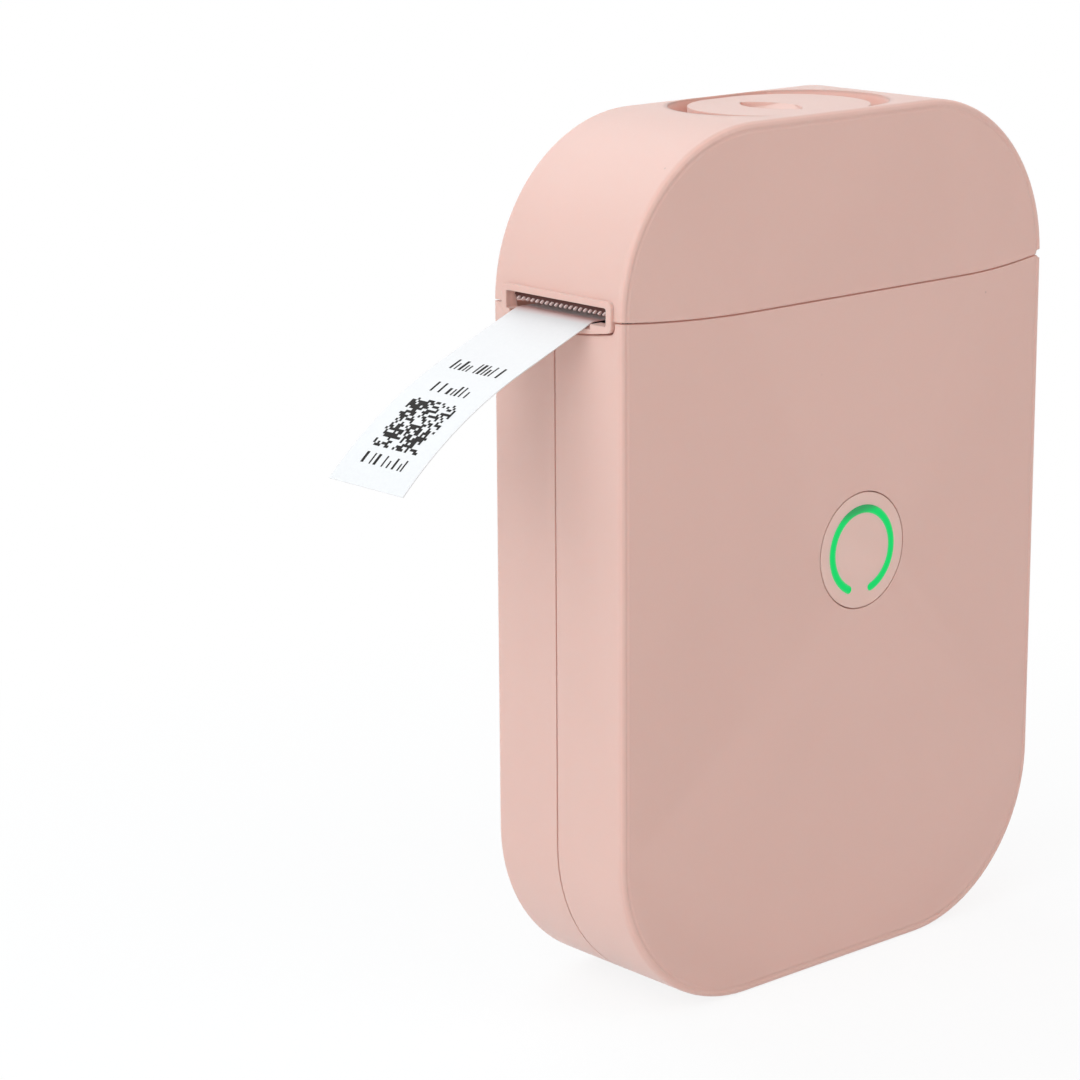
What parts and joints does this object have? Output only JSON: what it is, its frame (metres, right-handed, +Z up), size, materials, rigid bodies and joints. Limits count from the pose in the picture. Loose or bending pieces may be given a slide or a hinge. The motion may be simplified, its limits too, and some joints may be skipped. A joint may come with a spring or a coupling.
{
  "type": "thermal label printer",
  "caption": "Pocket label printer: rounded upright case with hinged lid, side outlet with tear bar and printed tape, round lit power button, top release button, roll and print drive inside.",
  "frame": {"origin": "centre of the flat underside of the case, on the plane it stands on", "axes": "+Z up, -Y the big face with the power button, -X the narrow side with the outlet, +X the hinged side"},
  "size_m": [0.1226, 0.027, 0.13],
  "materials": {
    "shell": "fine matt moulded finish",
    "inner": "plain matt moulding",
    "steel": "plain steel",
    "dark": "black moulding",
    "white": "white acetal",
    "paper": "coated label stock",
    "card": "plain card",
    "rubber": "ground silicone rubber",
    "board": "green solder mask",
    "alloy": "milled",
    "ceramic": "ground alumina",
    "brass": "turned",
    "glow": "frosted light guide",
    "foil": "foil pouch"
  },
  "bodies": {
    "case": {"front_shell": "shell", "rear_shell": "shell", "hinge_pin": "steel", "chassis": "inner", "platen_bushes": "dark", "idler_stud": "steel", "motor_can": "steel", "motor_flange": "steel", "screws_motor": "steel", "label_web": "paper", "tape_sensor": "dark", "tag_reader": "board", "main_board": "board", "board_parts": "dark", "switch_body": "steel", "ring_leds": "white", "usb_socket": "steel", "battery": "foil", "battery_pad": "dark", "battery_plug": "white", "screws_body": "steel", "screws_chassis": "steel", "screws_board": "steel"},
    "lid": {"lid": "shell", "lid_bridge": "inner", "screws_lid": "steel", "latch_pin": "steel", "latch_spring": "steel", "head_pin": "steel", "tear_bar": "steel", "label_strip": "paper", "release_spring": "steel", "head_springs": "steel"},
    "release": {"release_button": "shell"},
    "latch": {"latch_lever": "dark"},
    "head": {"head_sink": "alloy", "head_ceramic": "ceramic", "head_driver": "dark"},
    "platen": {"platen_rubber": "rubber", "platen_shaft": "steel", "platen_gear": "white"},
    "idler": {"idler_gear": "white"},
    "pinion": {"motor_shaft": "steel", "motor_pinion": "brass"},
    "roll": {"label_roll": "paper", "roll_core": "card"},
    "power": {"power_button": "shell", "light_ring": "glow"},
    "switch": {"switch_plunger": "dark"}
  },
  "joints": [
    {"name": "lid_hinge", "type": "hinge", "parent": "case", "child": "lid", "pos_m": [0.0434, 0, 0.1045], "axis": [0, 1, 0], "range_deg": [0, 90]},
    {"name": "release_press", "type": "slide", "parent": "lid", "child": "release", "axis": [0, 0, -1], "range_m": [0, 0.0018], "stiffness_N_per_m": 700, "springref_m": -0.002, "deforming": ["release_spring"]},
    {"name": "latch_turn", "type": "hinge", "parent": "lid", "child": "latch", "pos_m": [-0.0237, 0, 0.116], "axis": [0, 1, 0], "range_deg": [0, 5.05]},
    {"name": "head_float", "type": "hinge", "parent": "lid", "child": "head", "pos_m": [-0.0292, 0, 0.1112], "axis": [0, 1, 0], "range_deg": [0, 3], "stiffness_Nm_per_rad": 0.3, "springref_deg": -11.46, "deforming": ["head_springs"]},
    {"name": "platen_spin", "type": "hinge", "parent": "case", "child": "platen", "pos_m": [-0.0357, 0, 0.09957], "axis": [0, 1, 0], "continuous": true},
    {"name": "idler_spin", "type": "hinge", "parent": "case", "child": "idler", "pos_m": [-0.0329, 0, 0.08914], "axis": [0, 1, 0], "continuous": true},
    {"name": "pinion_spin", "type": "hinge", "parent": "case", "child": "pinion", "pos_m": [-0.0281, 0, 0.08083], "axis": [0, 1, 0], "continuous": true},
    {"name": "roll_spin", "type": "hinge", "parent": "case", "child": "roll", "pos_m": [0.006, 0, 0.08758], "axis": [0, 1, 0], "continuous": true},
    {"name": "power_press", "type": "slide", "parent": "case", "child": "power", "axis": [0, 1, 0], "range_m": [0, 0.0006], "stiffness_N_per_m": 900, "springref_m": -0.0008},
    {"name": "switch_press", "type": "slide", "parent": "case", "child": "switch", "axis": [0, 1, 0], "range_m": [0, 0.00034]}
  ],
  "couplings": [
    {"joint": "latch_turn", "follows": "release_press", "rad_per_m": 48.4},
    {"joint": "idler_spin", "follows": "platen_spin", "ratio": -0.5},
    {"joint": "pinion_spin", "follows": "platen_spin", "ratio": 1.5},
    {"joint": "roll_spin", "follows": "platen_spin", "ratio": 0.267},
    {"joint": "switch_press", "follows": "power_press", "ratio": 0.55}
  ]
}
